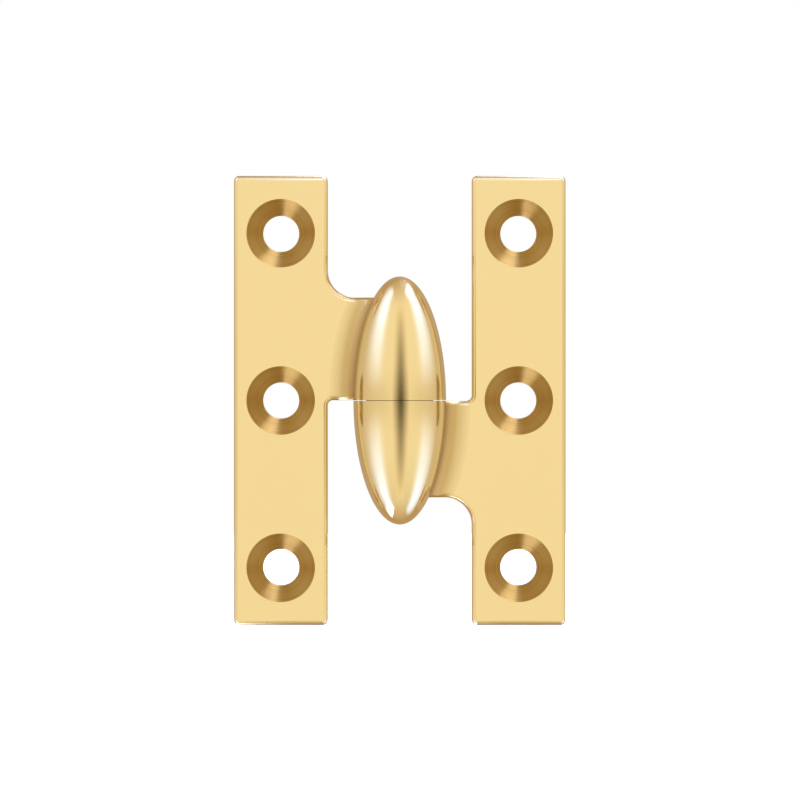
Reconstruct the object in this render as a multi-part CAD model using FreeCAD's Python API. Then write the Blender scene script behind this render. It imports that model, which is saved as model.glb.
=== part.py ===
"""Olive-knuckle lift-off hinge, 50.8 mm high, open flat.

Two brass leaves, each in one piece with its arm and one half of an olive-shaped knuckle, turn on
a concealed steel pin. The pin is pressed into the lower half (frame leaf) and runs in the upper
half (door leaf), which lifts off it. A bronze washer between the halves carries the door.

Millimetres. Z runs up along the pin and the origin is the olive's centre, on the parting plane.
The frame leaf is on the +X side. The countersunk faces look along -Y and fold on each other.
"""
import FreeCAD, Part
import math
import os

from FreeCAD import Vector

# Leaves
leaf_height = 50.8
leaf_width = 10.6
leaf_thickness = 2.4
closed_gap = 0.8  # between the two countersunk faces when the hinge is shut
edge_round = 0.55  # rounding along the front and back edges
corner_flat = 0.05  # how much larger a leaf's corner is than its edge rounding

# Olive knuckle and the arms that carry it
olive_radius = 5.235
olive_half_length = 14.0
olive_side_gap = 2.915  # from the olive's side to the inner edge of a leaf
arm_end_stand = 0.109  # how far the olive still stands out behind the door leaf's arm at its far edge
frame_arm_cut = 0.69  # how much narrower the frame leaf's arm is
arm_root_radius = 3.1  # from a leaf's inner edge into the arm's far edge
arm_inside_radius = 0.6  # from a leaf's inner edge into the arm's parting edge
blend_land = 0.17  # straight arm edge left between the root arc and the front blend
back_blend_radius = 0.8  # from the back of an arm up to the olive

# Screw holes, three to a leaf, for number 6 countersunk wood screws
hole_radius = 2.045
countersink_angle = 82.0
hole_land = 0.295  # straight wall left behind the countersink
hole_end_margin = 6.5  # from a leaf's end to the centre of its outer hole

# Pin and its bores
pin_radius = 2.0
pin_chamfer = 0.3
pin_running_gap = 0.05  # on the radius, in the door leaf's bore
pin_end_gap = 0.3
bore_tip_wall = 4.0  # from the olive's tip to the end of the bore's straight wall
drill_point_angle = 118.0

# Thrust washer and the recesses that hold it
parting_gap = 0.06
washer_thickness = 0.8
washer_play = 0.02  # along the pin, both faces together
washer_side_play = 0.1
washer_bore_play = 0.1
washer_width = 1.7  # from its bore to its outer edge

# Worked out from the sizes above
front_y = closed_gap / 2
back_y = front_y + leaf_thickness
leaf_inner_x = olive_radius + olive_side_gap
leaf_outer_x = leaf_inner_x + leaf_width
leaf_top = leaf_height / 2
corner_round = edge_round + corner_flat
arm_end_radius = back_y + arm_end_stand  # the olive's own radius at the arm's far edge
arm_reach = olive_half_length * math.sqrt(1 - (arm_end_radius / olive_radius) ** 2)
parting_z = parting_gap / 2
bore_end = olive_half_length - bore_tip_wall
washer_inner = pin_radius + washer_bore_play
washer_outer = washer_inner + washer_width
recess_radius = washer_outer + washer_side_play
recess_end = (washer_thickness + washer_play) / 2

tolerance = 0.001


def olive_width_at(z):
    """The olive's radius at a height above its centre."""
    return olive_radius * math.sqrt(1 - (z / olive_half_length) ** 2)


def front_blend_radius(arm_top):
    """The largest blend that the arm's straight far edge leaves room for."""
    olive_side = math.sqrt(olive_width_at(arm_top) ** 2 - front_y**2)
    return leaf_inner_x - arm_root_radius - olive_side - blend_land


def at(x, z):
    """A point of an outline in the XZ plane."""
    return Vector(x, 0, z)


def line(start, end):
    return Part.LineSegment(start, end).toShape()


def arc(centre, radius, start_angle, end_angle):
    """An arc in the XZ plane, by angles from +X towards +Z."""
    points = []
    for angle in (start_angle, (start_angle + end_angle) / 2, end_angle):
        turn = math.radians(angle)
        points.append(centre + at(radius * math.cos(turn), radius * math.sin(turn)))
    return Part.Arc(points[0], points[1], points[2]).toShape()


def chain(pieces):
    """A closed wire: arcs as they are, with straight edges drawn between them."""
    edges = []
    for index, piece in enumerate(pieces):
        previous_end = pieces[index - 1].Vertexes[-1].Point
        start = piece.Vertexes[0].Point
        if previous_end.distanceToPoint(start) > tolerance:
            edges.append(line(previous_end, start))
        edges.append(piece)
    return Part.Wire(edges)


def leaf_outline(arm_top):
    """The door leaf with its arm, seen from the front. The arm ends on the pin's axis."""
    left = -leaf_outer_x + corner_round
    right = -leaf_inner_x - corner_round
    top = leaf_top - corner_round
    root = at(-leaf_inner_x + arm_root_radius, arm_top + arm_root_radius)
    inside = at(-leaf_inner_x + arm_inside_radius, parting_z - arm_inside_radius)
    return chain(
        [
            arc(at(left, top), corner_round, 180, 90),
            arc(at(right, top), corner_round, 90, 0),
            arc(root, arm_root_radius, 180, 270),
            line(at(0, arm_top), at(0, parting_z)),
            arc(inside, arm_inside_radius, 90, 180),
            arc(at(right, -top), corner_round, 0, -90),
            arc(at(left, -top), corner_round, -90, -180),
        ]
    )


def olive_section(top):
    """Half of the olive's section, from the parting plane up to a height."""
    ellipse = Part.Ellipse(at(0, olive_half_length), at(olive_radius, 0), at(0, 0))
    low = at(olive_width_at(parting_z), parting_z)
    high = at(olive_width_at(top), top)
    side = Part.ArcOfEllipse(ellipse, ellipse.parameter(high), ellipse.parameter(low)).toShape()
    edges = [side, line(low, at(0, parting_z)), line(at(0, parting_z), at(0, top))]
    if high.x > tolerance:
        edges.append(line(at(0, top), high))
    return Part.Wire(edges)


def turned(outline):
    """A solid of revolution about the pin's axis."""
    return Part.Face(outline).revolve(Vector(0, 0, 0), Vector(0, 0, 1), 360)


def on_plane(edge, y):
    box = edge.BoundBox
    return abs(box.YMin - y) < tolerance and abs(box.YMax - y) < tolerance


def on_olive(edge):
    for point in edge.discretize(Number=5):
        across = math.hypot(point.x, point.y) / olive_radius
        along = point.z / olive_half_length
        if abs(math.hypot(across, along) - 1) > tolerance:
            return False
    return True


def solid_edges(shape):
    """The shape's edges, without the point that closes the olive's tip."""
    return [edge for edge in shape.Edges if not edge.Degenerated]


def blended_arm(shape, y, radius):
    """Rounds the inside corner where the arm's face at y runs into the olive."""
    seam = [edge for edge in solid_edges(shape) if on_plane(edge, y) and on_olive(edge)]
    return shape.makeFillet(radius, seam)


def rounded_edges(shape):
    """Rounds every outer edge, which is one smooth run from the leaf's outer front edge."""
    outer = []
    for edge in solid_edges(shape):
        if on_plane(edge, front_y) and abs(edge.BoundBox.XMax + leaf_outer_x) < tolerance:
            outer.append(edge)
    return shape.makeFillet(edge_round, outer)


def blank(arm_top):
    """The door leaf's forging: leaf, arm and the upper half of the olive, with no holes."""
    plate = Part.Face(leaf_outline(arm_top))
    plate.translate(Vector(0, front_y, 0))
    plate = plate.extrude(Vector(0, leaf_thickness, 0))
    stub = turned(olive_section(arm_top))
    shape = plate.fuse(stub).removeSplitter()
    shape = blended_arm(shape, front_y, front_blend_radius(arm_top))
    shape = blended_arm(shape, back_y, back_blend_radius)
    shape = rounded_edges(shape)
    olive = turned(olive_section(olive_half_length))
    return shape.fuse(olive).removeSplitter()


def screw_hole(x, z):
    """A countersunk hole through the leaf, opening to the front."""
    slope = math.tan(math.radians(countersink_angle / 2))
    reach = leaf_thickness
    cone_end = back_y - hole_land
    mouth_y = front_y - reach
    mouth_radius = hole_radius + (cone_end - mouth_y) * slope
    along = Vector(0, 1, 0)
    hole = Part.makeCylinder(hole_radius, leaf_thickness + 2 * reach, Vector(x, mouth_y, z), along)
    cone = Part.makeCone(mouth_radius, hole_radius, cone_end - mouth_y, Vector(x, mouth_y, z), along)
    return hole.fuse(cone)


def pin_bore(radius):
    """The drilled bore for the pin, with its recess for the washer."""
    point_height = radius / math.tan(math.radians(drill_point_angle / 2))
    corners = [
        at(0, 0),
        at(recess_radius, 0),
        at(recess_radius, recess_end),
        at(radius, recess_end),
        at(radius, bore_end),
        at(0, bore_end + point_height),
        at(0, 0),
    ]
    return turned(Part.makePolygon(corners))


def hinge_half(arm_top, bore_radius):
    """One finished leaf, in the door leaf's place."""
    cutters = [pin_bore(bore_radius)]
    hole_x = -(leaf_inner_x + leaf_width / 2)
    hole_rise = leaf_top - hole_end_margin
    for z in (-hole_rise, 0, hole_rise):
        cutters.append(screw_hole(hole_x, z))
    return blank(arm_top).cut(cutters)


def door_leaf():
    return hinge_half(arm_reach, pin_radius + pin_running_gap)


def frame_leaf():
    """The same form with a narrower arm, turned over about the Y axis. Its bore grips the pin."""
    shape = hinge_half(arm_reach - frame_arm_cut, pin_radius)
    shape.rotate(Vector(0, 0, 0), Vector(0, 1, 0), 180)
    return shape


def hinge_pin():
    end = bore_end - pin_end_gap
    corners = [
        at(0, -end),
        at(pin_radius - pin_chamfer, -end),
        at(pin_radius, pin_chamfer - end),
        at(pin_radius, end - pin_chamfer),
        at(pin_radius - pin_chamfer, end),
        at(0, end),
        at(0, -end),
    ]
    return turned(Part.makePolygon(corners))


def thrust_washer():
    half = washer_thickness / 2
    corners = [
        at(washer_inner, -half),
        at(washer_outer, -half),
        at(washer_outer, half),
        at(washer_inner, half),
        at(washer_inner, -half),
    ]
    return turned(Part.makePolygon(corners))


def main():
    os.makedirs("parts", exist_ok=True)
    pieces = {
        "door_leaf": door_leaf(),
        "frame_leaf": frame_leaf(),
        "hinge_pin": hinge_pin(),
        "thrust_washer": thrust_washer(),
    }
    for name, shape in pieces.items():
        shape.exportStep(f"parts/{name}.step")


main()
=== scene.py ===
"""Olive-knuckle lift-off hinge in polished brass, seen square on from its countersunk side.

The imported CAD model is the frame. Both leaves are dressed copies of their CAD nodes: the same
forging with its doubles merged and with the true normals of each ground face, so that the polish
reflects cleanly. The pin and the washer stay as the CAD has them and get their own finishes.
"""

import bmesh
import bpy
import math
import numpy as np
from mathutils import Matrix


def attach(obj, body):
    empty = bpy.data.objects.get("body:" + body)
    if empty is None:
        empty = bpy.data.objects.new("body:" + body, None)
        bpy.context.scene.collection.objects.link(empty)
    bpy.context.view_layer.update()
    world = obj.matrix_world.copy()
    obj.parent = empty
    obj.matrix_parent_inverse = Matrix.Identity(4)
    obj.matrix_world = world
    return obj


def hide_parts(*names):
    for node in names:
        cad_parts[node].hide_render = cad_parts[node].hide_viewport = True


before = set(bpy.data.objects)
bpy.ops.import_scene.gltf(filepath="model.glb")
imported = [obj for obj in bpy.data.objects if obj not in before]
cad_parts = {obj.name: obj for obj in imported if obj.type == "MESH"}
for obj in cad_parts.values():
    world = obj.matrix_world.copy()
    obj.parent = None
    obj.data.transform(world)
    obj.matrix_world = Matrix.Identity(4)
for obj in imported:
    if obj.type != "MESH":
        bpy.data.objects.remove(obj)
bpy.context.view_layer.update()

MM = 0.001

# Sizes of the forging, in millimetres, as in the CAD source
FRONT_Y = 0.4
BACK_Y = 2.8
LEAF_INNER_X = 8.15
OLIVE_RADIUS = 5.235
OLIVE_HALF_LENGTH = 14.0
ARM_END_STAND = 0.109  # how far the olive still stands out behind the arm at its far edge
ARM_END_RADIUS = BACK_Y + ARM_END_STAND
ARM_REACH = OLIVE_HALF_LENGTH * math.sqrt(1 - (ARM_END_RADIUS / OLIVE_RADIUS) ** 2)
FRAME_ARM_CUT = 0.69
ARM_ROOT_RADIUS = 3.1
BLEND_LAND = 0.17
BACK_BLEND_RADIUS = 0.8
RECESS_RADIUS = 3.9
HOLE_X = 13.45
HOLE_SPACING = 18.9
HOLE_RADIUS = 2.045
COUNTERSINK_HALF_ANGLE = math.radians(41)
COUNTERSINK_END_Y = 2.505
OLIVE_STRETCH = np.array([OLIVE_RADIUS, OLIVE_RADIUS, OLIVE_HALF_LENGTH])

# Corners of a CAD mesh that are nearer to each other than this are one, in millimetres
MERGE_DISTANCE = 0.0001

# The rolling ball's path, by the ellipse's own angle in radians
BALL_START = -0.2
BALL_END = 1.3
BALL_PLACES = 4000

# How faces are sorted by the form that they lie on, in millimetres
ON_FORM = 0.004  # the farthest a face's corners lie off its form
RECESS_SLACK = 0.02
HOLE_SLACK = 0.01
UNDER_SKIN = 0.3  # a bored face lies at least this deep in the olive

# The same by direction, as the least cosine of the angle between two normals
SQUARE_TO_AXIS = 0.99999
SAME_SIDE = 0.9
FLUSH = math.cos(math.radians(22))
ROUNDED = math.cos(math.radians(35))

# Places of a leaf's finishes in its material slots
LEAF, OLIVE, COUNTERSINK, BORE = range(4)


# Polished forgings


def unit(vectors):
    """The vectors at a length of 1, and those of no length as they are."""
    return vectors / np.maximum(np.linalg.norm(vectors, axis=-1, keepdims=True), 1e-12)


def olive_normals(points):
    """True normals of the olive at points on its skin."""
    return unit(points / OLIVE_STRETCH**2)


def off_olive(points):
    """How far points are from the olive's skin, nearly."""
    return np.abs(np.linalg.norm(points / OLIVE_STRETCH, axis=-1) - 1) * OLIVE_RADIUS


def front_blend_radius(arm_top):
    """The blend between an arm's front face and the olive, by the arm's reach."""
    olive_width = OLIVE_RADIUS * math.sqrt(1 - (arm_top / OLIVE_HALF_LENGTH) ** 2)
    olive_side = math.sqrt(olive_width**2 - FRONT_Y**2)
    return LEAF_INNER_X - ARM_ROOT_RADIUS - olive_side - BLEND_LAND


def ball_path(face_y, radius, side):
    """The path of a ball that rolls in the corner between an arm's face and the olive.

    It runs from just past the parting plane to near the olive's tip.
    """
    lift = np.linspace(BALL_START, BALL_END, BALL_PLACES)
    slope = np.hypot(np.cos(lift) / OLIVE_RADIUS, np.sin(lift) / OLIVE_HALF_LENGTH)
    reach = np.cos(lift) * (OLIVE_RADIUS + radius / (OLIVE_RADIUS * slope))
    height = np.sin(lift) * (OLIVE_HALF_LENGTH + radius / (OLIVE_HALF_LENGTH * slope))
    y = face_y + side * radius
    inside = np.abs(y) < reach
    x = -np.sqrt(reach[inside] ** 2 - y**2)
    return np.stack([x, np.full_like(x, y), height[inside]], axis=1)


def blend_normals(points, face_y, radius, side):
    """Normals towards the rolling ball's centre, and how far each point is off the blend."""
    path = ball_path(face_y, radius, side)
    nearest = np.array([path[np.argmin(((path - p) ** 2).sum(axis=1))] for p in points])
    towards = nearest - points
    return unit(towards), np.abs(np.linalg.norm(towards, axis=1) - radius)


def hole_offsets(points):
    """From the axis of the nearest screw hole, in the leaf's plane."""
    offsets = points.copy()
    offsets[:, 0] += HOLE_X
    offsets[:, 1] = 0
    offsets[:, 2] -= HOLE_SPACING * np.clip(np.round(points[:, 2] / HOLE_SPACING), -1, 1)
    return offsets


def countersink_normals(points):
    """Normals of the countersink cones, and how far each point is off its cone."""
    offsets = hole_offsets(points)
    spread = (COUNTERSINK_END_Y - points[:, 1]) * math.tan(COUNTERSINK_HALF_ANGLE)
    off = np.abs(np.linalg.norm(offsets, axis=1) - HOLE_RADIUS - spread)
    normals = -unit(offsets) * math.cos(COUNTERSINK_HALF_ANGLE)
    normals[:, 1] = -math.sin(COUNTERSINK_HALF_ANGLE)
    return normals, off


def true_normals(points, faces, face_normals, blend_radius):
    """One normal for each corner of each face, and the faces on the olive and the countersinks."""
    corner_normals = np.repeat(face_normals[:, None, :], 3, axis=1)
    known = np.abs(face_normals).max(axis=1) > SQUARE_TO_AXIS
    forms = (
        (olive_normals(points), off_olive(points)),
        blend_normals(points, FRONT_Y, blend_radius, -1),
        blend_normals(points, BACK_Y, BACK_BLEND_RADIUS, 1),
        countersink_normals(points),
    )
    on_form = []
    for normals, off in forms:
        fits = (off[faces] < ON_FORM).all(axis=1) & ~known
        fits &= np.einsum("fij,fj->fi", normals[faces], face_normals).min(axis=1) > SAME_SIDE
        corner_normals[fits] = normals[faces[fits]]
        known |= fits
        on_form.append(fits)
    smooth_the_rest(points, faces, face_normals, corner_normals, known)
    return corner_normals, on_form[0], on_form[-1]


def smooth_the_rest(points, faces, face_normals, corner_normals, known):
    """Fills in the corners of the edge roundings and bores, which lie on none of the forms.

    A corner takes the normal of the known face that meets it most nearly flush. Where there is
    none, it is smoothed with the other rounded faces round its point, by their angles there.
    """
    corners_at = [[] for _ in points]
    for face, corners in enumerate(faces):
        for corner, point in enumerate(corners):
            corners_at[point].append((face, corner))
    ahead = unit(points[np.roll(faces, -1, axis=1)] - points[faces])
    behind = -np.roll(ahead, 1, axis=1)
    angles = np.arccos(np.clip(np.einsum("fij,fij->fi", ahead, behind), -1, 1))
    for face in np.flatnonzero(~known):
        own = face_normals[face]
        for corner, point in enumerate(faces[face]):
            best, closest = None, FLUSH
            total = np.zeros(3)
            for other, place in corners_at[point]:
                if known[other]:
                    likeness = corner_normals[other, place] @ own
                    if likeness > closest:
                        best, closest = corner_normals[other, place], likeness
                elif face_normals[other] @ own > ROUNDED:
                    total += face_normals[other] * angles[other, place]
            corner_normals[face, corner] = unit(total) if best is None else best


def dressed_leaf(node, name, turn, arm_top, finishes):
    """A leaf as its CAD node has it, with clean normals and a finish for each kind of face.

    The sizes above are the door leaf's. The frame leaf is sorted turned over into its place.
    """
    mesh = bpy.data.meshes.new(name)
    forging = bmesh.new()
    forging.from_mesh(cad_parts[node].data)
    bmesh.ops.remove_doubles(forging, verts=forging.verts, dist=MERGE_DISTANCE * MM)
    forging.to_mesh(mesh)
    forging.free()
    for finish in finishes:
        mesh.materials.append(finish)
    points = np.array([v.co for v in mesh.vertices]) / MM * turn
    faces = np.array([p.vertices[:] for p in mesh.polygons])
    face_normals = np.array([p.normal for p in mesh.polygons]) * turn
    blend_radius = front_blend_radius(arm_top)
    corner_normals, on_olive, on_cone = true_normals(points, faces, face_normals, blend_radius)
    middles = points[faces].mean(axis=1)
    from_pin = np.linalg.norm(middles[:, :2], axis=1)
    inside_olive = (from_pin < RECESS_RADIUS + RECESS_SLACK) & (off_olive(middles) > UNDER_SKIN)
    from_hole = np.linalg.norm(hole_offsets(middles), axis=1)
    bored = (inside_olive | (from_hole < HOLE_RADIUS + HOLE_SLACK)) & ~on_cone
    kind = np.select([on_cone, bored, on_olive], [COUNTERSINK, BORE, OLIVE], LEAF)
    mesh.polygons.foreach_set("material_index", kind.astype(np.int32))
    mesh.polygons.foreach_set("use_smooth", np.ones(len(faces), bool))
    mesh.normals_split_custom_set((corner_normals * turn).reshape(-1, 3).tolist())
    leaf = bpy.data.objects.new(name, mesh)
    bpy.context.scene.collection.objects.link(leaf)
    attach(leaf, node + "_body")
    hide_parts(node)


# Finishes


def linear(code):
    """An sRGB hex colour as linear RGBA."""
    channels = [int(code[i : i + 2], 16) / 255 for i in (1, 3, 5)]
    return [c / 12.92 if c <= 0.04045 else ((c + 0.055) / 1.055) ** 2.4 for c in channels] + [1]


def add_node(tree, kind, settings=None, links=None):
    """A node with its settings, and with its inputs set to values or linked to outputs."""
    node = tree.nodes.new(kind)
    for key, value in (settings or {}).items():
        setattr(node, key, value)
    for key, value in (links or {}).items():
        if isinstance(value, bpy.types.NodeSocket):
            tree.links.new(value, node.inputs[key])
        else:
            node.inputs[key].default_value = value
    return node


def new_material(name):
    """An empty material and its node tree."""
    material = bpy.data.materials.new(name)
    material.use_nodes = True
    material.node_tree.nodes.clear()
    return material, material.node_tree


def set_stops(ramp_node, stops):
    """Fills a colour ramp from (place, colour) pairs."""
    ramp = ramp_node.color_ramp
    while len(ramp.elements) < len(stops):
        ramp.elements.new(1.0)
    for element, (place, colour) in zip(ramp.elements, stops):
        element.position = place
        element.color = colour


BUFFED_BRASS = "#F6D997"
BUFFED_ROUGHNESS = (0.13, 0.17)
BLOOM_PER_MM = 0.42
WAVES_PER_MM = 0.16
# The depth of the marks on every metal that has a bump, in millimetres
MARK_DEPTH = 0.01


def buffed(tree, place):
    """The roughness and the bump of a buffed face: a faint bloom and a faint waviness.

    A wheel that the work is held against by hand leaves both in patches of a few millimetres.
    The bloom's are about 2.4 mm here and the waves about 6 mm.
    """
    bloom = add_node(
        tree,
        "ShaderNodeTexNoise",
        links={
            "Vector": place.outputs["Object"],
            "Scale": BLOOM_PER_MM / MM,
            "Detail": 3.0,
            "Roughness": 0.6,
        },
    )
    roughness = add_node(
        tree,
        "ShaderNodeMapRange",
        links={
            "Value": bloom.outputs["Fac"],
            "From Min": 0.3,
            "From Max": 0.7,
            "To Min": BUFFED_ROUGHNESS[0],
            "To Max": BUFFED_ROUGHNESS[1],
        },
    )
    wave = add_node(
        tree,
        "ShaderNodeTexNoise",
        links={"Vector": place.outputs["Object"], "Scale": WAVES_PER_MM / MM, "Detail": 1.0},
    )
    bump = add_node(
        tree,
        "ShaderNodeBump",
        links={"Height": wave.outputs["Fac"], "Strength": 0.1, "Distance": MARK_DEPTH * MM},
    )
    return roughness.outputs["Result"], bump.outputs["Normal"]


def polished_olive_brass():
    """Brass, turned and then buffed on a wheel: mirror-like, with clear highlights."""
    material, tree = new_material("polished_olive_brass")
    place = add_node(tree, "ShaderNodeTexCoord")
    roughness, normal = buffed(tree, place)
    metal = add_node(
        tree,
        "ShaderNodeBsdfPrincipled",
        links={
            "Base Color": linear(BUFFED_BRASS),
            "Metallic": 1.0,
            "Roughness": roughness,
            "Normal": normal,
        },
    )
    add_node(tree, "ShaderNodeOutputMaterial", links={"Surface": metal.outputs["BSDF"]})
    return material


# The corner by the olive: how far it reaches from the olive's skin, in millimetres, and its painted
# shade colours and dullness by how deep in it a point is, from 0 at its edge to 1 at the olive
SHADED_CORNER_REACH = 2.8
CORNER_SHADE_COLOURS = [
    (0.0, BUFFED_BRASS),
    (0.02, "#F2D593"),
    (0.14, "#EDD08E"),
    (0.3, "#E5C686"),
    (0.464, "#D9BD7B"),
    (0.63, "#D4AE66"),
    (0.79, "#D1A75C"),
    (1.0, "#D8B36D"),
]
DULL_FROM = 0.3
DULL_TO = 0.8
DULLEST = 0.3  # added to the roughness there


def polished_leaf_brass():
    """Brass, ground flat and buffed: mirror-like, and duller in the corner by the olive, where a
    painted shade turns its colour brown.
    """
    material, tree = new_material("polished_leaf_brass")
    place = add_node(tree, "ShaderNodeTexCoord")
    roughness, normal = buffed(tree, place)
    in_mm = add_node(
        tree,
        "ShaderNodeVectorMath",
        {"operation": "SCALE"},
        {0: place.outputs["Object"], "Scale": 1 / MM},
    )
    axes = add_node(tree, "ShaderNodeSeparateXYZ", links={0: in_mm.outputs[0]})
    flat = add_node(
        tree, "ShaderNodeVectorMath", {"operation": "MULTIPLY"}, {0: in_mm.outputs[0], 1: (1, 1, 0)}
    )
    from_pin = add_node(tree, "ShaderNodeVectorMath", {"operation": "LENGTH"}, {0: flat.outputs[0]})
    along = add_node(
        tree,
        "ShaderNodeMath",
        {"operation": "DIVIDE"},
        {0: axes.outputs["Z"], 1: OLIVE_HALF_LENGTH},
    )
    squared = add_node(
        tree,
        "ShaderNodeMath",
        {"operation": "MULTIPLY"},
        {0: along.outputs[0], 1: along.outputs[0]},
    )
    rest = add_node(
        tree, "ShaderNodeMath", {"operation": "SUBTRACT"}, {0: 1.0, 1: squared.outputs[0]}
    )
    kept = add_node(tree, "ShaderNodeMath", {"operation": "MAXIMUM"}, {0: rest.outputs[0], 1: 0.0})
    root = add_node(tree, "ShaderNodeMath", {"operation": "SQRT"}, {0: kept.outputs[0]})
    olive_width = add_node(
        tree, "ShaderNodeMath", {"operation": "MULTIPLY"}, {0: root.outputs[0], 1: OLIVE_RADIUS}
    )
    off = add_node(
        tree,
        "ShaderNodeMath",
        {"operation": "SUBTRACT"},
        {0: from_pin.outputs["Value"], 1: olive_width.outputs[0]},
    )
    depth = add_node(
        tree,
        "ShaderNodeMapRange",
        links={
            "Value": off.outputs[0],
            "From Min": SHADED_CORNER_REACH,
            "From Max": 0.0,
            "To Min": 0.0,
            "To Max": 1.0,
        },
    )
    # painted shade: the colour goes from the buffed brass to brown towards the olive
    colour = add_node(tree, "ShaderNodeValToRGB", links={0: depth.outputs["Result"]})
    set_stops(colour, [(stop, linear(code)) for stop, code in CORNER_SHADE_COLOURS])
    dullness = add_node(
        tree,
        "ShaderNodeMapRange",
        links={
            "Value": depth.outputs["Result"],
            "From Min": DULL_FROM,
            "From Max": DULL_TO,
            "To Min": 0.0,
            "To Max": DULLEST,
        },
    )
    rough = add_node(
        tree, "ShaderNodeMath", {"operation": "ADD"}, {0: roughness, 1: dullness.outputs["Result"]}
    )
    metal = add_node(
        tree,
        "ShaderNodeBsdfPrincipled",
        links={
            "Base Color": colour.outputs["Color"],
            "Metallic": 1.0,
            "Roughness": rough.outputs[0],
            "Normal": normal,
        },
    )
    add_node(tree, "ShaderNodeOutputMaterial", links={"Surface": metal.outputs["BSDF"]})
    return material


def hole_vector(tree, place):
    """From the axis of the nearest screw hole to the shaded point, in millimetres."""
    in_mm = add_node(
        tree,
        "ShaderNodeVectorMath",
        {"operation": "SCALE"},
        {0: place.outputs["Object"], "Scale": 1 / MM},
    )
    axes = add_node(tree, "ShaderNodeSeparateXYZ", links={0: in_mm.outputs[0]})
    side = add_node(tree, "ShaderNodeMath", {"operation": "SIGN"}, {0: axes.outputs["X"]})
    column = add_node(
        tree, "ShaderNodeMath", {"operation": "MULTIPLY"}, {0: side.outputs[0], 1: HOLE_X}
    )
    across = add_node(
        tree,
        "ShaderNodeMath",
        {"operation": "SUBTRACT"},
        {0: axes.outputs["X"], 1: column.outputs[0]},
    )
    shifted = add_node(
        tree, "ShaderNodeMath", {"operation": "ADD"}, {0: axes.outputs["Z"], 1: HOLE_SPACING / 2}
    )
    row = add_node(
        tree, "ShaderNodeMath", {"operation": "SNAP"}, {0: shifted.outputs[0], 1: HOLE_SPACING}
    )
    up = add_node(
        tree, "ShaderNodeMath", {"operation": "SUBTRACT"}, {0: axes.outputs["Z"], 1: row.outputs[0]}
    )
    return across.outputs[0], up.outputs[0]


# The rings in a countersink: their pitch in millimetres and their darkest and palest colours, both
# set darker than the buffed brass as a painted shade of the hollow
RING_PITCH = 0.16
RING_AND_HOLLOW_SHADE_COLOURS = [(0.32, "#B5883C"), (0.68, "#CB9C4B")]


def turned_brass():
    """Brass cut by a countersink bit: fine rings that draw the light into two fans, in colours set
    darker than the buffed brass as a painted shade of the hollow.

    The real rings are a few hundredths of a millimetre apart. That is too fine to show, so they
    are drawn coarser.
    """
    material, tree = new_material("turned_brass_countersinks")
    place = add_node(tree, "ShaderNodeTexCoord")
    across, up = hole_vector(tree, place)
    outward = add_node(tree, "ShaderNodeCombineXYZ", links={"X": across, "Y": 0.0, "Z": up})
    from_axis = add_node(
        tree, "ShaderNodeVectorMath", {"operation": "LENGTH"}, {0: outward.outputs[0]}
    )
    ring_number = add_node(
        tree,
        "ShaderNodeMath",
        {"operation": "DIVIDE"},
        {0: from_axis.outputs["Value"], 1: RING_PITCH},
    )
    rings = add_node(
        tree,
        "ShaderNodeTexNoise",
        {"noise_dimensions": "1D"},
        {"W": ring_number.outputs[0], "Scale": 1.0, "Detail": 2.0, "Roughness": 0.7},
    )
    colour = add_node(tree, "ShaderNodeValToRGB", links={0: rings.outputs["Fac"]})
    # painted shade: both ring colours are darker than the buffed brass, for the shade of the hollow
    set_stops(colour, [(stop, linear(code)) for stop, code in RING_AND_HOLLOW_SHADE_COLOURS])
    tangent = add_node(
        tree,
        "ShaderNodeVectorTransform",
        {"vector_type": "VECTOR", "convert_from": "OBJECT", "convert_to": "WORLD"},
        {0: outward.outputs[0]},
    )
    metal = add_node(
        tree,
        "ShaderNodeBsdfPrincipled",
        links={
            "Base Color": colour.outputs["Color"],
            "Metallic": 1.0,
            "Roughness": 0.46,
            "Anisotropic": 0.95,
            "Tangent": tangent.outputs[0],
        },
    )
    add_node(tree, "ShaderNodeOutputMaterial", links={"Surface": metal.outputs["BSDF"]})
    return material


DRILL_MARKS_PER_MM = 0.9


def bored_brass():
    """Brass as a drill and reamer leave it, duller than the buffed outside, and set in a darker
    colour.

    Real drill marks are a tenth of a millimetre apart and don't show, so they are drawn coarser.
    """
    material, tree = new_material("bored_brass")
    place = add_node(tree, "ShaderNodeTexCoord")
    marks = add_node(
        tree,
        "ShaderNodeTexNoise",
        links={"Vector": place.outputs["Object"], "Scale": DRILL_MARKS_PER_MM / MM, "Detail": 2.0},
    )
    bump = add_node(
        tree,
        "ShaderNodeBump",
        links={"Height": marks.outputs["Fac"], "Strength": 0.3, "Distance": MARK_DEPTH * MM},
    )
    metal = add_node(
        tree,
        "ShaderNodeBsdfPrincipled",
        links={
            "Base Color": linear("#DDB46C"),
            "Metallic": 1.0,
            "Roughness": 0.32,
            "Normal": bump.outputs["Normal"],
        },
    )
    add_node(tree, "ShaderNodeOutputMaterial", links={"Surface": metal.outputs["BSDF"]})
    return material


GRINDING_RINGS_PER_MM = 9.0
GRINDING_BREAKS_PER_MM = 0.3


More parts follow.
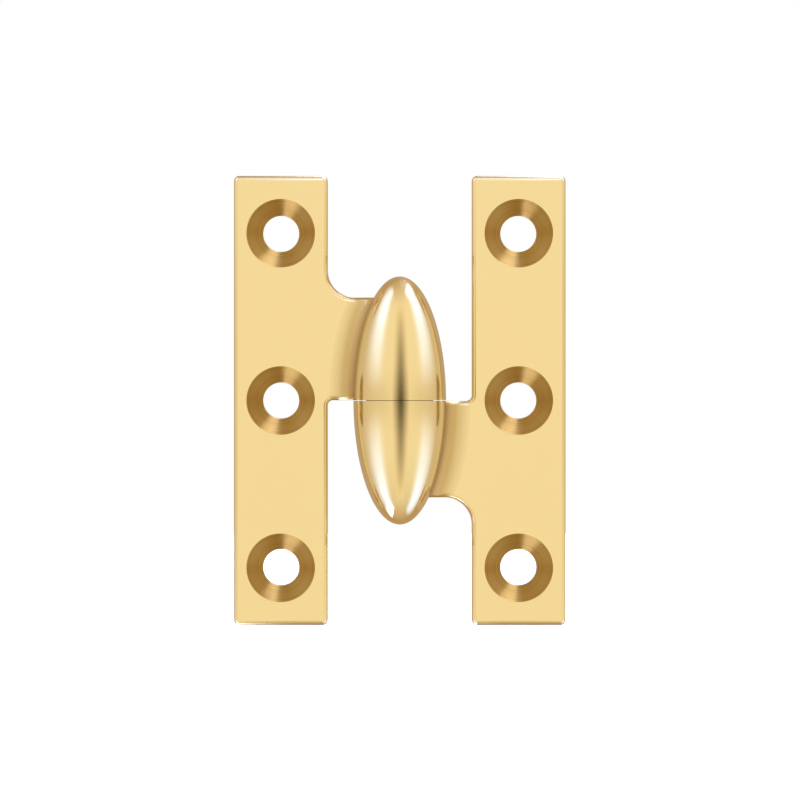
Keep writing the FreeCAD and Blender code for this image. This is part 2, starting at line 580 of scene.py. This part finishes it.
def ground_steel():
    """Stainless steel, ground between centres: satin, with fine broken rings round the pin.

    The real rings are a few hundredths of a millimetre apart and are drawn coarser, to show.
    """
    material, tree = new_material("ground_stainless_steel")
    place = add_node(tree, "ShaderNodeTexCoord")
    breaks, pitch = GRINDING_BREAKS_PER_MM / MM, GRINDING_RINGS_PER_MM / MM
    squeeze = add_node(
        tree,
        "ShaderNodeMapping",
        links={"Vector": place.outputs["Object"], "Scale": (breaks, breaks, pitch)},
    )
    rings = add_node(
        tree,
        "ShaderNodeTexNoise",
        links={"Vector": squeeze.outputs[0], "Scale": 1.0, "Detail": 2.0},
    )
    bump = add_node(
        tree,
        "ShaderNodeBump",
        links={"Height": rings.outputs["Fac"], "Strength": 0.2, "Distance": MARK_DEPTH * MM},
    )
    metal = add_node(
        tree,
        "ShaderNodeBsdfPrincipled",
        links={
            "Base Color": linear("#D3CBB9"),
            "Metallic": 1.0,
            "Roughness": 0.22,
            "Normal": bump.outputs["Normal"],
        },
    )
    add_node(tree, "ShaderNodeOutputMaterial", links={"Surface": metal.outputs["BSDF"]})
    return material


GRAINS_PER_MM = 6.0


def bearing_bronze():
    """Sintered bronze soaked in oil: dark, close-grained and faintly speckled.

    The real grains are about a tenth of a millimetre, and are drawn a little coarser, to show.
    """
    material, tree = new_material("sintered_bearing_bronze")
    place = add_node(tree, "ShaderNodeTexCoord")
    grain = add_node(
        tree,
        "ShaderNodeTexVoronoi",
        links={"Vector": place.outputs["Object"], "Scale": GRAINS_PER_MM / MM},
    )
    colour = add_node(
        tree,
        "ShaderNodeMix",
        {"data_type": "RGBA"},
        {"Factor": grain.outputs["Distance"], "A": linear("#B98A52"), "B": linear("#94683A")},
    )
    metal = add_node(
        tree,
        "ShaderNodeBsdfPrincipled",
        links={"Base Color": colour.outputs["Result"], "Metallic": 1.0, "Roughness": 0.42},
    )
    add_node(tree, "ShaderNodeOutputMaterial", links={"Surface": metal.outputs["BSDF"]})
    return material


# Studio


def grey(value):
    """A linear grey as RGBA."""
    return (value, value, value, 1.0)


# Light of the room all round at eye level, by angle from the camera in degrees, where 1 is white
LEVEL_RING = [
    (0, (1.0, 1.0, 1.0)),
    (12, (1.0, 1.0, 1.0)),
    (25, (0.92, 0.90, 0.87)),
    (48, (0.84, 0.81, 0.76)),
    (76, (0.79, 0.74, 0.67)),
    (108, (0.72, 0.66, 0.60)),
    (130, (0.56, 0.46, 0.37)),
    (180, (0.48, 0.40, 0.30)),
]
# The same above and below eye level
RAISED_RING = [
    (0, (1.0, 1.0, 1.0)),
    (60, (0.98, 0.97, 0.96)),
    (90, (0.84, 0.80, 0.76)),
    (100, (0.77, 0.71, 0.66)),
    (120, (0.66, 0.57, 0.48)),
    (140, (0.57, 0.46, 0.37)),
    (180, (0.48, 0.40, 0.30)),
]
# How much of the raised ring shows, by height from eye level in degrees
RAISED_SHARE = [(0, 0.0), (3, 0.0), (8, 0.85), (13, 1.0), (90, 1.0)]
# How bright the room is, from straight down at 0 degrees to straight up at 180
ROOM_LEVEL = [
    (0, 0.42),
    (18, 0.62),
    (36, 0.82),
    (54, 0.93),
    (72, 1.0),
    (132, 1.0),
    (146, 0.90),
    (162, 0.75),
    (180, 0.52),
]
# The two soft boxes, one each side, by angle from the camera and by height from eye level
BOX_WIDTH = [
    (0, 0.0),
    (42, 0.0),
    (52, 0.30),
    (62, 1.0),
    (80, 1.0),
    (90, 0.62),
    (102, 0.2),
    (116, 0.0),
    (180, 0.0),
]
BOX_HEIGHT = [
    (0, 0.0),
    (3, 0.0),
    (16, 0.55),
    (24, 0.68),
    (34, 1.0),
    (42, 1.0),
    (60, 0.9),
    (68, 0.3),
    (76, 0.0),
    (90, 0.0),
]
BOX_LIGHT = (0.35, 0.75, 2.4, 1.0)
# What a mirror image of a mirror image shows, by angle from the camera
FOLD_RING = [
    (0, (1.15, 1.5, 2.8)),
    (32, (1.10, 1.4, 2.6)),
    (50, (0.76, 0.88, 1.5)),
    (70, (0.75, 0.89, 1.48)),
    (90, (0.77, 0.93, 1.72)),
    (108, (0.62, 0.68, 1.1)),
    (140, (0.58, 0.61, 0.88)),
    (180, (0.58, 0.61, 0.88)),
]
# The upright strip of the room before the hinge, from straight down at 0 degrees to straight up at
# 180: it darkens towards the floor, and it has a long lamp over the camera
STRIP = [
    (0, (0.50, 0.44, 0.36)),
    (17, (0.56, 0.48, 0.35)),
    (44, (0.64, 0.57, 0.47)),
    (69, (0.76, 0.69, 0.62)),
    (82, (0.93, 0.91, 0.89)),
    (86, (1.0, 1.0, 1.0)),
    (96, (1.0, 1.0, 1.0)),
    (104, (1.3, 1.6, 2.9)),
    (136, (1.15, 1.4, 2.4)),
    (156, (0.78, 0.86, 1.25)),
    (180, (0.55, 0.55, 0.60)),
]
STRIP_HALF_WIDTH = 0.14  # as a part of a direction of length 1
# The two tubes, overhead and below, by height from eye level in degrees. How far forward they
# reach, their half-width and their lean to the side are parts of a direction of length 1 too.
TUBE_HEIGHT = [(0, 0.0), (40, 0.0), (56, 1.0), (90, 1.0)]
TUBE_FRONT = 0.34
TUBE_FRONT_FADE = 0.15
TUBE_HALF_WIDTH = 0.35
TUBE_LEAN = 0.42
# The strength of the tube overhead and of the one below, times their light
TUBE_ABOVE = 2.0
TUBE_BELOW = 1.6
TUBE_LIGHT = (3.6, 4.8, 9.5, 1.0)
# The room is turned a little about the upright axis
ROOM_TURN = math.radians(3.5)
# A glossy depth of 1 is the first mirror image, and 2 the mirror image of one
ONE_REFLECTION = 1.5
# A ramp holds lights up to 1, so they are divided by this in it and multiplied by it after it
BRIGHTEST = 4.0


def ring_stops(stops, span):
    """Ramp stops from angles and lights or shares, with angles scaled to the ramp's 0 to 1."""
    scaled = []
    for angle, light in stops:
        if isinstance(light, tuple):
            colour = [part / BRIGHTEST for part in light] + [1]
        else:
            colour = grey(light)
        scaled.append((angle / span, colour))
    return scaled


def light_the_room():
    """A room that goes from white round the camera to light brown behind the hinge, and its lamps.

    It has two soft boxes, a long lamp over the camera and two tubes. The lamps are seen only once:
    a mirror image of a mirror image shows a plain cool room, so that the folds of the hinge stay
    quiet and keep the colour of the brass. The camera itself sees plain white behind the hinge.
    """
    world = bpy.data.worlds.new("studio")
    bpy.context.scene.world = world
    world.use_nodes = True
    tree = world.node_tree
    tree.nodes.clear()
    place = add_node(tree, "ShaderNodeTexCoord")
    turned = add_node(
        tree,
        "ShaderNodeVectorRotate",
        {"rotation_type": "Z_AXIS"},
        {"Vector": place.outputs["Generated"], "Angle": -ROOM_TURN},
    )
    axes = add_node(tree, "ShaderNodeSeparateXYZ", links={0: turned.outputs[0]})
    aside = add_node(tree, "ShaderNodeMath", {"operation": "ABSOLUTE"}, {0: axes.outputs["X"]})
    ahead = add_node(
        tree, "ShaderNodeMath", {"operation": "MULTIPLY"}, {0: axes.outputs["Y"], 1: -1.0}
    )
    bearing = add_node(
        tree, "ShaderNodeMath", {"operation": "ARCTAN2"}, {0: aside.outputs[0], 1: ahead.outputs[0]}
    )
    turn = add_node(
        tree, "ShaderNodeMath", {"operation": "DIVIDE"}, {0: bearing.outputs[0], 1: math.pi}
    )
    rise = add_node(tree, "ShaderNodeMath", {"operation": "ARCSINE"}, {0: axes.outputs["Z"]})
    height = add_node(
        tree, "ShaderNodeMath", {"operation": "DIVIDE"}, {0: rise.outputs[0], 1: math.pi / 2}
    )
    off_level = add_node(tree, "ShaderNodeMath", {"operation": "ABSOLUTE"}, {0: height.outputs[0]})
    from_below = add_node(
        tree,
        "ShaderNodeMath",
        {"operation": "MULTIPLY_ADD"},
        {0: height.outputs[0], 1: 0.5, 2: 0.5},
    )
    ramps = {}
    for name, source, stops, span in (
        ("level", turn, LEVEL_RING, 180),
        ("raised", turn, RAISED_RING, 180),
        ("share", off_level, RAISED_SHARE, 90),
        ("room", from_below, ROOM_LEVEL, 180),
        ("fold", turn, FOLD_RING, 180),
        ("box_width", turn, BOX_WIDTH, 180),
        ("box_height", off_level, BOX_HEIGHT, 90),
        ("strip", from_below, STRIP, 180),
        ("tube_height", off_level, TUBE_HEIGHT, 90),
    ):
        ramp = add_node(tree, "ShaderNodeValToRGB", links={0: source.outputs[0]})
        set_stops(ramp, ring_stops(stops, span))
        ramps[name] = ramp.outputs["Color"]
    ring = add_node(
        tree,
        "ShaderNodeMix",
        {"data_type": "RGBA"},
        {"Factor": ramps["share"], "A": ramps["level"], "B": ramps["raised"]},
    )
    lit = add_node(
        tree,
        "ShaderNodeMix",
        {"data_type": "RGBA", "blend_type": "MULTIPLY"},
        {"Factor": 1.0, "A": ring.outputs["Result"], "B": ramps["room"]},
    )
    box = add_node(
        tree,
        "ShaderNodeMath",
        {"operation": "MULTIPLY"},
        {0: ramps["box_width"], 1: ramps["box_height"]},
    )
    lean = add_node(
        tree, "ShaderNodeMath", {"operation": "MULTIPLY"}, {0: axes.outputs["Z"], 1: TUBE_LEAN}
    )
    off_tube = add_node(
        tree,
        "ShaderNodeMath",
        {"operation": "SUBTRACT"},
        {0: axes.outputs["X"], 1: lean.outputs[0]},
    )
    from_tube = add_node(
        tree, "ShaderNodeMath", {"operation": "ABSOLUTE"}, {0: off_tube.outputs[0]}
    )
    shares = {}
    for name, source, full, none in (
        ("strip_width", aside, STRIP_HALF_WIDTH / 2, STRIP_HALF_WIDTH),
        ("tube_width", from_tube, TUBE_HALF_WIDTH / 2, TUBE_HALF_WIDTH),
        ("tube_front", ahead, TUBE_FRONT - TUBE_FRONT_FADE, TUBE_FRONT),
    ):
        fade = add_node(
            tree,
            "ShaderNodeMapRange",
            {"interpolation_type": "SMOOTHSTEP"},
            {
                "Value": source.outputs[0],
                "From Min": full,
                "From Max": none,
                "To Min": 1.0,
                "To Max": 0.0,
            },
        )
        shares[name] = fade.outputs["Result"]
    in_front = add_node(
        tree, "ShaderNodeMath", {"operation": "GREATER_THAN"}, {0: ahead.outputs[0], 1: 0.0}
    )
    strip_share = add_node(
        tree,
        "ShaderNodeMath",
        {"operation": "MULTIPLY"},
        {0: shares["strip_width"], 1: in_front.outputs[0]},
    )
    above = add_node(
        tree, "ShaderNodeMath", {"operation": "GREATER_THAN"}, {0: axes.outputs["Z"], 1: 0.0}
    )
    tube_light = add_node(
        tree,
        "ShaderNodeMath",
        {"operation": "MULTIPLY_ADD"},
        {0: above.outputs[0], 1: TUBE_ABOVE - TUBE_BELOW, 2: TUBE_BELOW},
    )
    tube_reach = add_node(
        tree,
        "ShaderNodeMath",
        {"operation": "MULTIPLY"},
        {0: ramps["tube_height"], 1: tube_light.outputs[0]},
    )
    tube_rise = add_node(
        tree,
        "ShaderNodeMath",
        {"operation": "MULTIPLY"},
        {0: tube_reach.outputs[0], 1: shares["tube_front"]},
    )
    tubes = add_node(
        tree,
        "ShaderNodeMath",
        {"operation": "MULTIPLY"},
        {0: shares["tube_width"], 1: tube_rise.outputs[0]},
    )
    with_strip = add_node(
        tree,
        "ShaderNodeMix",
        {"data_type": "RGBA"},
        {"Factor": strip_share.outputs[0], "A": lit.outputs["Result"], "B": ramps["strip"]},
    )
    room_light = add_node(
        tree,
        "ShaderNodeBackground",
        links={"Color": with_strip.outputs["Result"], "Strength": BRIGHTEST},
    )
    box_light = add_node(
        tree, "ShaderNodeBackground", links={"Color": BOX_LIGHT, "Strength": box.outputs[0]}
    )
    tube_lights = add_node(
        tree, "ShaderNodeBackground", links={"Color": TUBE_LIGHT, "Strength": tubes.outputs[0]}
    )
    fold_light = add_node(
        tree, "ShaderNodeBackground", links={"Color": ramps["fold"], "Strength": BRIGHTEST}
    )
    with_box = add_node(
        tree, "ShaderNodeAddShader", links={0: room_light.outputs[0], 1: box_light.outputs[0]}
    )
    studio = add_node(
        tree, "ShaderNodeAddShader", links={0: with_box.outputs[0], 1: tube_lights.outputs[0]}
    )
    path = add_node(tree, "ShaderNodeLightPath")
    twice = add_node(
        tree,
        "ShaderNodeMath",
        {"operation": "GREATER_THAN"},
        {0: path.outputs["Glossy Depth"], 1: ONE_REFLECTION},
    )
    mirrored = add_node(
        tree,
        "ShaderNodeMixShader",
        links={0: twice.outputs[0], 1: studio.outputs[0], 2: fold_light.outputs[0]},
    )
    white = add_node(tree, "ShaderNodeBackground", links={"Color": grey(1.0), "Strength": 1.0})
    seen = add_node(
        tree,
        "ShaderNodeMixShader",
        links={0: path.outputs["Is Camera Ray"], 1: mirrored.outputs[0], 2: white.outputs[0]},
    )
    add_node(tree, "ShaderNodeOutputWorld", links={"Surface": seen.outputs[0]})


FLOOR_Z = -60.0
FLOOR_HALF_WIDTH = 1500.0
FLOOR_GREY = 0.55
FLOOR_GLOW = 0.62  # brings the lit floor up to white for the camera


def floor():
    """A plain white floor below the view. It shows a soft shadow, and the metal doesn't see it."""
    material, tree = new_material("white_paper_floor")
    paper = add_node(tree, "ShaderNodeBsdfDiffuse", links={"Color": grey(FLOOR_GREY)})
    glow = add_node(tree, "ShaderNodeEmission", links={"Color": grey(1.0), "Strength": FLOOR_GLOW})
    path = add_node(tree, "ShaderNodeLightPath")
    lifted = add_node(tree, "ShaderNodeAddShader", links={0: paper.outputs[0], 1: glow.outputs[0]})
    seen = add_node(
        tree,
        "ShaderNodeMixShader",
        links={0: path.outputs["Is Camera Ray"], 1: paper.outputs[0], 2: lifted.outputs[0]},
    )
    add_node(tree, "ShaderNodeOutputMaterial", links={"Surface": seen.outputs[0]})
    mesh = bpy.data.meshes.new("floor")
    sheet = bmesh.new()
    bmesh.ops.create_grid(sheet, x_segments=1, y_segments=1, size=FLOOR_HALF_WIDTH * MM)
    bmesh.ops.translate(sheet, verts=sheet.verts, vec=(0, 0, FLOOR_Z * MM))
    sheet.to_mesh(mesh)
    sheet.free()
    mesh.materials.append(material)
    paper_floor = bpy.data.objects.new("floor", mesh)
    bpy.context.scene.collection.objects.link(paper_floor)
    paper_floor.visible_glossy = False


# How a card is turned about the X axis, in degrees
UPRIGHT = 90
LEVEL = 0

# The dark card, in millimetres
CARD_Y = -13.0
CARD_X = 0.5
CARD_HALF_WIDTH = 3.9
CARD_HALF_HEIGHT = 32.0
CARD_SOFT_EDGE = 0.5
CARD_TINT = (1.0, 0.95, 0.86, 1.0)
# Its brightness down the middle, dark, and along the edges, pale: at eye level, at its highest
# and how far above and below eye level it gets there
DARK_LOW = 0.09
DARK_HIGH = 0.93
DARK_END = 20.0
PALE_LOW = 0.72
PALE_HIGH = 0.98
PALE_END = 6.0


def dark_card():
    """A card before the knuckle, dark down its middle and paler towards its edges and ends.

    Only the metal sees it: it gives the olive the dark line that its middle mirrors.
    """
    material, tree = new_material("graded_card")
    place = add_node(tree, "ShaderNodeTexCoord")
    axes = add_node(tree, "ShaderNodeSeparateXYZ", links={0: place.outputs["Object"]})
    off_middle = add_node(
        tree, "ShaderNodeMath", {"operation": "SUBTRACT"}, {0: axes.outputs["X"], 1: CARD_X * MM}
    )
    aside = add_node(tree, "ShaderNodeMath", {"operation": "ABSOLUTE"}, {0: off_middle.outputs[0]})
    along = add_node(tree, "ShaderNodeMath", {"operation": "ABSOLUTE"}, {0: axes.outputs["Z"]})
    grades = {}
    for name, low, high, end in (
        ("middle", DARK_LOW, DARK_HIGH, DARK_END),
        ("edges", PALE_LOW, PALE_HIGH, PALE_END),
    ):
        grade = add_node(
            tree,
            "ShaderNodeMapRange",
            links={
                "Value": along.outputs[0],
                "From Min": 0.0,
                "From Max": end * MM,
                "To Min": low,
                "To Max": high,
            },
        )
        grades[name] = grade.outputs["Result"]
    shade = add_node(
        tree,
        "ShaderNodeMapRange",
        {"interpolation_type": "SMOOTHSTEP"},
        {
            "Value": aside.outputs[0],
            "From Min": 0.0,
            "From Max": CARD_HALF_WIDTH * MM,
            "To Min": grades["middle"],
            "To Max": grades["edges"],
        },
    )
    edge = add_node(
        tree,
        "ShaderNodeMapRange",
        links={
            "Value": aside.outputs[0],
            "From Min": (CARD_HALF_WIDTH - CARD_SOFT_EDGE) * MM,
            "From Max": CARD_HALF_WIDTH * MM,
            "To Min": 1.0,
            "To Max": 0.0,
        },
    )
    printed = add_node(
        tree, "ShaderNodeEmission", links={"Color": CARD_TINT, "Strength": shade.outputs["Result"]}
    )
    clear = add_node(tree, "ShaderNodeBsdfTransparent")
    seen = add_node(
        tree,
        "ShaderNodeMixShader",
        links={0: edge.outputs[0], 1: clear.outputs[0], 2: printed.outputs[0]},
    )
    add_node(tree, "ShaderNodeOutputMaterial", links={"Surface": seen.outputs[0]})
    half_sizes = (CARD_HALF_WIDTH, CARD_HALF_HEIGHT)
    set_up_card("graded_card", material, half_sizes, UPRIGHT, (CARD_X, CARD_Y, 0))


# The cards beyond each tip, in millimetres: a narrow one in front and a wide one behind it.
# Metal sees nothing of a card that is within the nearer of the last two distances, and all of one
# from the farther on.
TIP_CARD_RISE = 2.5
TIP_CARD_HALF_SIZES = (2.4, 3.35)
TIP_CARD_Y = -4.15
ARC_CARD_HALF_SIZES = (7.0, 3.15)
ARC_CARD_Y = 2.35
TIP_CARD_PALE_Y = -7.0
TIP_CARD_BROWN_Y = 0.0
TIP_CARD_PALE = (0.90, 0.88, 0.86, 1.0)
TIP_CARD_BROWN = (0.53, 0.41, 0.30, 1.0)
TIP_CARD_CLEAR_WITHIN = 1.5
TIP_CARD_SEEN_FROM = 2.4


def tip_cards():
    """Cards beyond the tips of the olive and the roots of the arms, which hide the tubes there.

    They go from white at the front to light brown at the back, for the brown that the tips end
    in. Metal that is nearer to them than the tips are doesn't see them, so that a lifted leaf
    shows no line where it crosses one.
    """
    material, tree = new_material("graded_tip_card")
    place = add_node(tree, "ShaderNodeTexCoord")
    axes = add_node(tree, "ShaderNodeSeparateXYZ", links={0: place.outputs["Object"]})
    back = add_node(
        tree,
        "ShaderNodeMapRange",
        links={
            "Value": axes.outputs["Y"],
            "From Min": TIP_CARD_PALE_Y * MM,
            "From Max": TIP_CARD_BROWN_Y * MM,
        },
    )
    shade = add_node(
        tree,
        "ShaderNodeMix",
        {"data_type": "RGBA"},
        {"Factor": back.outputs["Result"], "A": TIP_CARD_PALE, "B": TIP_CARD_BROWN},
    )
    printed = add_node(
        tree, "ShaderNodeEmission", links={"Color": shade.outputs["Result"], "Strength": 1.0}
    )
    path = add_node(tree, "ShaderNodeLightPath")
    far_enough = add_node(
        tree,
        "ShaderNodeMapRange",
        links={
            "Value": path.outputs["Ray Length"],
            "From Min": TIP_CARD_CLEAR_WITHIN * MM,
            "From Max": TIP_CARD_SEEN_FROM * MM,
        },
    )
    clear = add_node(tree, "ShaderNodeBsdfTransparent")
    seen = add_node(
        tree,
        "ShaderNodeMixShader",
        links={0: far_enough.outputs[0], 1: clear.outputs[0], 2: printed.outputs[0]},
    )
    add_node(tree, "ShaderNodeOutputMaterial", links={"Surface": seen.outputs[0]})
    for name, side in (("upper", 1), ("lower", -1)):
        height = side * (OLIVE_HALF_LENGTH + TIP_CARD_RISE)
        set_up_card(
            name + "_tip_card", material, TIP_CARD_HALF_SIZES, LEVEL, (0, TIP_CARD_Y, height)
        )
        set_up_card(
            name + "_arc_card", material, ARC_CARD_HALF_SIZES, LEVEL, (0, ARC_CARD_Y, height)
        )


def set_up_card(name, material, half_sizes, turn, middle):
    """A flat card that only the metal sees, turned about the X axis."""
    mesh = bpy.data.meshes.new(name)
    sheet = bmesh.new()
    bmesh.ops.create_grid(sheet, x_segments=1, y_segments=1, size=1.0)
    bmesh.ops.scale(sheet, verts=sheet.verts, vec=(half_sizes[0] * MM, half_sizes[1] * MM, 1))
    bmesh.ops.rotate(sheet, verts=sheet.verts, matrix=Matrix.Rotation(math.radians(turn), 3, "X"))
    bmesh.ops.translate(sheet, verts=sheet.verts, vec=[part * MM for part in middle])
    sheet.to_mesh(mesh)
    sheet.free()
    mesh.materials.append(material)
    card = bpy.data.objects.new(name, mesh)
    bpy.context.scene.collection.objects.link(card)
    card.visible_camera = False
    card.visible_diffuse = False
    card.visible_shadow = False


# The lens, the camera's place and the nearest and farthest that it sees, in millimetres
CAMERA_LENS = 200.0
CAMERA_AWAY = 501.7
CAMERA_X = 0.028
CAMERA_Z = 0.056
CAMERA_NEAREST = 10.0
CAMERA_FARTHEST = 20000.0


def camera():
    """A long lens, square on to the countersunk side."""
    eye = bpy.data.cameras.new("camera")
    eye.lens = CAMERA_LENS
    eye.clip_start = CAMERA_NEAREST * MM
    eye.clip_end = CAMERA_FARTHEST * MM
    holder = bpy.data.objects.new("camera", eye)
    holder.location = (CAMERA_X * MM, -CAMERA_AWAY * MM, CAMERA_Z * MM)
    holder.rotation_euler = (math.radians(90), 0, 0)
    bpy.context.scene.collection.objects.link(holder)
    bpy.context.scene.camera = holder


# How a leaf is turned, axis by axis, so that it lies as the door leaf does
AS_MODELLED = np.array([1.0, 1.0, 1.0])
TURNED_OVER = np.array([-1.0, 1.0, -1.0])
FRAME_ARM_REACH = ARM_REACH - FRAME_ARM_CUT

brass_finishes = [polished_leaf_brass(), polished_olive_brass(), turned_brass(), bored_brass()]
dressed_leaf("door_leaf", "door_leaf_dressed", AS_MODELLED, ARM_REACH, brass_finishes)
dressed_leaf("frame_leaf", "frame_leaf_dressed", TURNED_OVER, FRAME_ARM_REACH, brass_finishes)
for node, finish in (("hinge_pin", ground_steel()), ("thrust_washer", bearing_bronze())):
    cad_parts[node].material_slots[0].material = finish

light_the_room()
floor()
dark_card()
tip_cards()
camera()
bpy.context.scene.view_settings.view_transform = "Standard"
